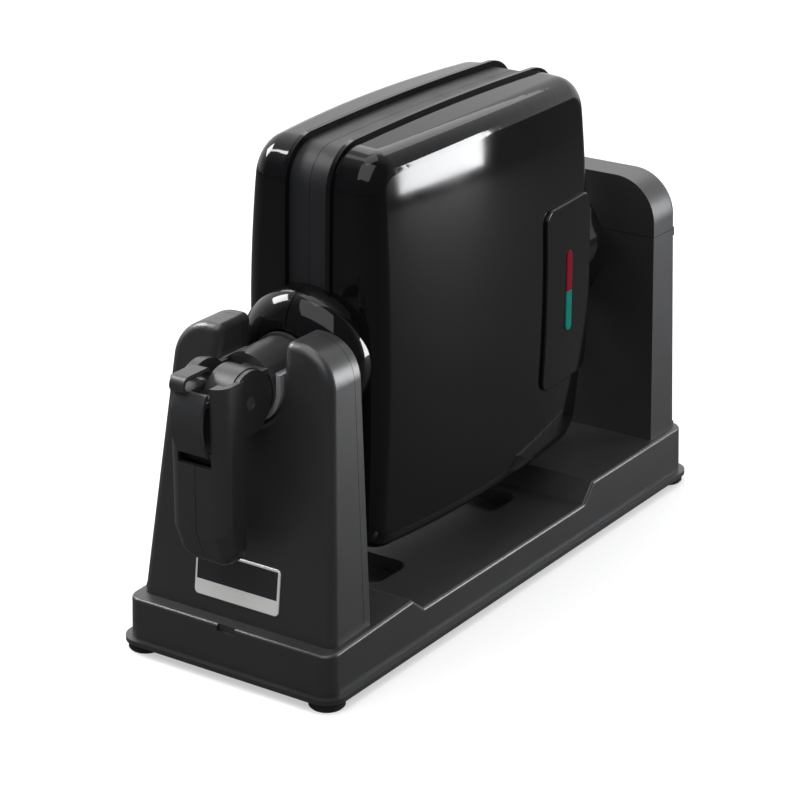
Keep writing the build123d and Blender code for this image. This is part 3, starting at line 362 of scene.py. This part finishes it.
def bossHalf(name, side):
    low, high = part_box(name)
    height = (low[2] + high[2]) / 2
    profile = bossProfile(low[1], high[1], bossLook["hole"][side])
    work = bmesh.new()
    rings = []
    for step in range(bossLook["turnSteps"] + 1):
        turn = pi * step / bossLook["turnSteps"]
        ring = []
        for radius, along in profile:
            out = max(radius * sin(turn), bossLook["gap"])
            ring.append(work.verts.new((side * out, along, height + radius * cos(turn))))
        rings.append(ring)
    for first, second in zip(rings, rings[1:]):
        for index in range(len(profile)):
            after = (index + 1) % len(profile)
            work.faces.new((first[index], first[after], second[after], second[index]))
    work.faces.new(rings[0])
    work.faces.new(rings[-1])
    bmesh.ops.recalc_face_normals(work, faces=work.faces)
    for face in work.faces:
        face.smooth = len(face.verts) == 4   # the flat faces at the parting plane have many corners
    for edge in work.edges:
        edge.smooth = edge.calc_face_angle(0.0) < creaseAngle
    mesh = bpy.data.meshes.new(name + "_dressed")
    work.to_mesh(mesh)
    work.free()
    mesh.materials.append(glossBlack)
    piece = newObject(name + "_dressed", mesh)
    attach(piece, bodyOf[name])
    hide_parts(name)


for name, side in bossSides.items():
    bossHalf(name, side)
print("front boss made")

# Screws: one node tree makes a pan head with a cross recess and a threaded shank at every point
screwLook = {"Head Radius": 0.0032, "Head Height": 0.0022, "Crown": 0.0007, "Recess Width": 0.0009,
             "Recess Depth": 0.0011, "Shank Radius": 0.00125, "Shank Length": 0.0089, "Thread Pitch": 0.0011,
             "Thread Radius": 0.00035}
# Shares are of the head's radius for the crown and recess, and of the shank's length for the thread
screwForm = {"headSides": 40, "shankSides": 24, "threadSteps": 16, "ridgeSides": 4, "crownTop": 0.7,
             "recessReach": 1.15, "threadShare": 0.86, "threadStart": 0.93, "overlap": 0.00001}


def screwTree():
    tree = bpy.data.node_groups.new("screw_row", "GeometryNodeTree")
    tree.interface.new_socket("Geometry", in_out="INPUT", socket_type="NodeSocketGeometry")
    for key in screwLook:
        tree.interface.new_socket(key, in_out="INPUT", socket_type="NodeSocketFloat")
    tree.interface.new_socket("Turn", in_out="INPUT", socket_type="NodeSocketVector")
    tree.interface.new_socket("Finish", in_out="INPUT", socket_type="NodeSocketMaterial")
    tree.interface.new_socket("Geometry", in_out="OUTPUT", socket_type="NodeSocketGeometry")
    given = addNode(tree, "NodeGroupInput").outputs

    def link(source, target):
        tree.links.new(source, target)

    def times(value, share):
        return calculate(tree, "MULTIPLY", value, share)

    def moved(geometry, height):
        place = addNode(tree, "ShaderNodeCombineXYZ")
        link(height, place.inputs["Z"])
        shift = addNode(tree, "GeometryNodeTransform")
        link(geometry, shift.inputs["Geometry"])
        link(place.outputs[0], shift.inputs["Translation"])
        return shift.outputs[0]

    # head: a straight rim with a sloping crown on top of it
    rim = addNode(tree, "GeometryNodeMeshCylinder")
    rim.inputs["Vertices"].default_value = screwForm["headSides"]
    rimHeight = calculate(tree, "SUBTRACT", given["Head Height"], given["Crown"])
    link(given["Head Radius"], rim.inputs["Radius"])
    link(rimHeight, rim.inputs["Depth"])
    crown = addNode(tree, "GeometryNodeMeshCone")
    crown.inputs["Vertices"].default_value = screwForm["headSides"]
    link(times(given["Head Radius"], screwForm["crownTop"]), crown.inputs["Radius Top"])
    link(given["Head Radius"], crown.inputs["Radius Bottom"])
    link(given["Crown"], crown.inputs["Depth"])
    crownFoot = calculate(tree, "SUBTRACT", rimHeight, screwForm["overlap"])
    head = addNode(tree, "GeometryNodeMeshBoolean", operation="UNION")
    link(moved(rim.outputs["Mesh"], times(rimHeight, 0.5)), head.inputs["Mesh 2"])
    link(moved(crown.outputs["Mesh"], crownFoot), head.inputs["Mesh 2"])

    # recess: two crossed bars cut into the crown
    recess = addNode(tree, "GeometryNodeMeshBoolean", operation="DIFFERENCE")
    link(head.outputs["Mesh"], recess.inputs["Mesh 1"])
    reach = times(given["Head Radius"], screwForm["recessReach"])
    deep = times(given["Recess Depth"], 2)
    for wide, long in ((reach, given["Recess Width"]), (given["Recess Width"], reach)):
        bar = addNode(tree, "GeometryNodeMeshCube")
        size = addNode(tree, "ShaderNodeCombineXYZ")
        link(wide, size.inputs["X"])
        link(long, size.inputs["Y"])
        link(deep, size.inputs["Z"])
        link(size.outputs[0], bar.inputs["Size"])
        link(moved(bar.outputs["Mesh"], given["Head Height"]), recess.inputs["Mesh 2"])

    # shank, and a thread wound round it
    shank = addNode(tree, "GeometryNodeMeshCylinder")
    shank.inputs["Vertices"].default_value = screwForm["shankSides"]
    link(given["Shank Radius"], shank.inputs["Radius"])
    link(given["Shank Length"], shank.inputs["Depth"])
    wound = addNode(tree, "GeometryNodeCurveSpiral")
    wound.inputs["Resolution"].default_value = screwForm["threadSteps"]
    link(calculate(tree, "DIVIDE", given["Shank Length"], given["Thread Pitch"]), wound.inputs["Rotations"])
    link(given["Shank Radius"], wound.inputs["Start Radius"])
    link(given["Shank Radius"], wound.inputs["End Radius"])
    link(times(given["Shank Length"], screwForm["threadShare"]), wound.inputs["Height"])
    ridge = addNode(tree, "GeometryNodeCurvePrimitiveCircle")
    ridge.inputs["Resolution"].default_value = screwForm["ridgeSides"]
    link(given["Thread Radius"], ridge.inputs["Radius"])
    thread = addNode(tree, "GeometryNodeCurveToMesh")
    thread.inputs["Fill Caps"].default_value = True
    link(wound.outputs[0], thread.inputs["Curve"])
    link(ridge.outputs[0], thread.inputs["Profile Curve"])

    threadFoot = times(given["Shank Length"], -screwForm["threadStart"])

    whole = addNode(tree, "GeometryNodeJoinGeometry")
    link(recess.outputs["Mesh"], whole.inputs[0])
    link(moved(shank.outputs["Mesh"], times(given["Shank Length"], -0.5)), whole.inputs[0])
    link(moved(thread.outputs["Mesh"], threadFoot), whole.inputs[0])
    turn = addNode(tree, "FunctionNodeEulerToRotation")
    link(given["Turn"], turn.inputs[0])
    row = addNode(tree, "GeometryNodeInstanceOnPoints")
    link(given["Geometry"], row.inputs["Points"])
    link(whole.outputs[0], row.inputs["Instance"])
    link(turn.outputs[0], row.inputs["Rotation"])
    real = addNode(tree, "GeometryNodeRealizeInstances")
    link(row.outputs[0], real.inputs[0])
    finish = addNode(tree, "GeometryNodeSetMaterial")
    link(real.outputs[0], finish.inputs["Geometry"])
    link(given["Finish"], finish.inputs["Material"])
    link(finish.outputs[0], addNode(tree, "NodeGroupOutput").inputs[0])
    return tree


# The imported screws' own places: the middle of each one, moved to where its head seats
def screwSeats(name, turn):
    work = bmesh.new()
    work.from_mesh(nodes[name].data)
    bmesh.ops.remove_doubles(work, verts=work.verts, dist=mergeDistance)
    outward = Euler(turn).to_matrix() @ Vector((0, 0, 1))
    left = set(work.verts)
    seats = []
    while left:
        island = [left.pop()]
        for vert in island:
            for edge in vert.link_edges:
                other = edge.other_vert(vert)
                if other in left:
                    left.remove(other)
                    island.append(other)
        low = Vector([min(vert.co[axis] for vert in island) for axis in range(3)])
        high = Vector([max(vert.co[axis] for vert in island) for axis in range(3)])
        along = abs((high - low).dot(outward)) / 2 - screwLook["Head Height"]
        seats.append((low + high) / 2 + outward * along)
    work.free()
    return seats


screwRow = screwTree()
identifiers = {item.name: item.identifier for item in screwRow.interface.items_tree if item.in_out == "INPUT"}


def screwPiece(name, turn):
    points = bpy.data.meshes.new(name + "_points")
    points.from_pydata(screwSeats(name, turn), [], [])
    maker = newObject(name + "_maker", points)
    builder = maker.modifiers.new("row", "NODES")
    builder.node_group = screwRow
    for key, value in screwLook.items():
        builder[identifiers[key]] = value
    builder[identifiers["Turn"]] = turn
    builder[identifiers["Finish"]] = brightSteel
    mesh = finishedMesh(maker, name + "_dressed")
    bpy.data.objects.remove(maker)
    piece = newObject(name + "_dressed", mesh)
    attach(piece, bodyOf[name])
    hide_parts(name)


for name, turn in screwTurns.items():
    screwPiece(name, turn)
print("screws made")

# Camera, set to the view of the photograph; turn and dip are in radians
cameraLook = {"place": (0.90639, -1.34381, 0.75400), "turn": 0.5982569, "dip": 0.3755629, "lens": 123.75,
              "sensor": 36, "farthest": 50}


def placeCamera(look):
    camera = newObject("camera", bpy.data.cameras.new("camera"))
    scene.camera = camera
    turn, dip = look["turn"], look["dip"]
    right = Vector((cos(turn), sin(turn), 0))
    ahead = Vector((-sin(turn) * cos(dip), cos(turn) * cos(dip), -sin(dip)))
    aim = Matrix((right, right.cross(ahead), -ahead)).transposed().to_4x4()
    camera.matrix_world = Matrix.Translation(Vector(look["place"])) @ aim
    camera.data.lens = look["lens"]
    camera.data.sensor_width = look["sensor"]
    camera.data.clip_end = look["farthest"]


placeCamera(cameraLook)
print("camera placed")

# Studio: a white wall behind the object, a darker room in front of it and a pale table
studioLook = {"wallWay": (-0.56, 0.83, 0.0), "wall": (1.0, 1.0, 1.0), "room": (0.070, 0.074, 0.085),
              "fade": (-0.15, 0.65), "fill": 0.85, "white": (1, 1, 1, 1)}
# The table: its own tone, the tone and lift that the camera sees, and where its mirrored tone turns pale
tableLook = {"size": 12.0, "tone": 0.06, "drift": 1.02, "grainScale": 3.0, "rough": 0.7, "shine": 0.2,
             "seen": 0.52, "lift": 0.46, "mirrored": (1.2, 2.4)}
scene.view_settings.view_transform = "Standard"


def towardsWall(tree, point, low, high):
    along = addNode(tree, "ShaderNodeVectorMath", operation="DOT_PRODUCT")
    along.inputs[1].default_value = studioLook["wallWay"]
    tree.links.new(point, along.inputs[0])
    return spread(tree, along.outputs["Value"], 0, 1, low, high)


def mirroredRays(tree, path):
    return calculate(tree, "MAXIMUM", path.outputs["Is Glossy Ray"], path.outputs["Is Transmission Ray"])


def mixShaders(tree, factor, first, second):
    mix = addNode(tree, "ShaderNodeMixShader")
    tree.links.new(factor, mix.inputs["Fac"])
    tree.links.new(first, mix.inputs[1])
    tree.links.new(second, mix.inputs[2])
    return mix.outputs[0]


def studioWorld():
    world = bpy.data.worlds.new("studio")
    world.use_nodes = True
    scene.world = world
    tree = world.node_tree
    way = addNode(tree, "ShaderNodeTexCoord").outputs["Generated"]
    tone = blendColours(tree, towardsWall(tree, way, *studioLook["fade"]), studioLook["room"],
                        studioLook["wall"])
    path = addNode(tree, "ShaderNodeLightPath")
    fill = tree.nodes["Background"]
    fill.inputs["Strength"].default_value = studioLook["fill"]
    fill.inputs["Color"].default_value = studioLook["white"]
    mirrored = addNode(tree, "ShaderNodeBackground")
    tree.links.new(tone, mirrored.inputs["Color"])
    white = addNode(tree, "ShaderNodeBackground")
    white.inputs["Color"].default_value = studioLook["white"]
    lit = mixShaders(tree, mirroredRays(tree, path), fill.outputs[0], mirrored.outputs[0])
    seen = mixShaders(tree, path.outputs["Is Camera Ray"], lit, white.outputs[0])
    tree.links.new(seen, tree.nodes["World Output"].inputs["Surface"])


def tableWhite(look):
    material, tree, shader = newMaterial("table_white")
    tone = (look["tone"],) * 3
    grain = noiseAt(tree, objectPoint(tree), look["grainScale"], 2)
    drifted = tuple(part * look["drift"] for part in tone)
    tree.links.new(blendColours(tree, grain, tone, drifted), shader.inputs["Base Color"])
    shader.inputs["Roughness"].default_value = look["rough"]
    shader.inputs["Specular IOR Level"].default_value = look["shine"]
    pale = addNode(tree, "ShaderNodeBsdfDiffuse")
    pale.inputs["Color"].default_value = (look["seen"],) * 3 + (1,)
    lift = addNode(tree, "ShaderNodeEmission")
    lift.inputs["Strength"].default_value = look["lift"]
    both = addNode(tree, "ShaderNodeAddShader")
    tree.links.new(pale.outputs[0], both.inputs[0])
    tree.links.new(lift.outputs[0], both.inputs[1])
    path = addNode(tree, "ShaderNodeLightPath")
    far = towardsWall(tree, objectPoint(tree), *look["mirrored"])
    mirroredFar = calculate(tree, "MULTIPLY", mirroredRays(tree, path), far)
    shown = calculate(tree, "MAXIMUM", path.outputs["Is Camera Ray"], mirroredFar)
    surface = mixShaders(tree, shown, shader.outputs[0], both.outputs[0])
    tree.links.new(surface, tree.nodes["Material Output"].inputs["Surface"])
    return material


def layTable(look):
    reach = look["size"] / 2
    mesh = bpy.data.meshes.new("floor")
    mesh.from_pydata([(-reach, -reach, 0), (reach, -reach, 0), (reach, reach, 0), (-reach, reach, 0)], [],
                     [(0, 1, 2, 3)])
    mesh.materials.append(tableWhite(look))
    return newObject("floor", mesh)


studioWorld()
floor = layTable(tableLook)
print("studio set")

# Soft boxes: brightness is the radiance of the box's face, so its power follows its size
softBoxes = {
    "right_box": {"turn": 46, "lift": 3.5, "away": 1.35, "size": (0.30, 0.52), "brightness": 17,
                  "tint": (0.97, 0.98, 1.0)},
    "left_box": {"turn": -168, "lift": 38, "away": 1.5, "size": (0.55, 0.50), "brightness": 18,
                 "tint": (1, 1, 1)},
    "top_box": {"turn": 112, "lift": 47, "away": 1.9, "size": (1.5, 1.0), "brightness": 1.6,
                "tint": (1, 1, 1)},
    "front_box": {"turn": -80, "lift": 58, "away": 2.2, "size": (2.2, 1.8), "brightness": 1.6,
                  "tint": (1, 1, 1)},
    "over_box": {"turn": 150, "lift": 82, "away": 2.0, "size": (1.2, 1.2), "brightness": 1.5,
                 "tint": (1, 1, 1)}}
aimedAt = Vector((0, 0, 0.2))   # the point that every soft box faces


def softBox(name, look):
    lamp = bpy.data.lights.new(name, "AREA")
    lamp.shape = "RECTANGLE"
    lamp.size, lamp.size_y = look["size"]
    lamp.energy = look["brightness"] * pi * look["size"][0] * look["size"][1]
    lamp.color = look["tint"]
    box = newObject(name, lamp)
    box.visible_camera = False
    turn, lift = radians(look["turn"]), radians(look["lift"])
    way = Vector((cos(turn) * cos(lift), sin(turn) * cos(lift), sin(lift)))
    aim = (-way).to_track_quat("-Z", "Y").to_matrix().to_4x4()
    box.matrix_world = Matrix.Translation(aimedAt + way * look["away"]) @ aim


for name, look in softBoxes.items():
    softBox(name, look)
print("lights placed")
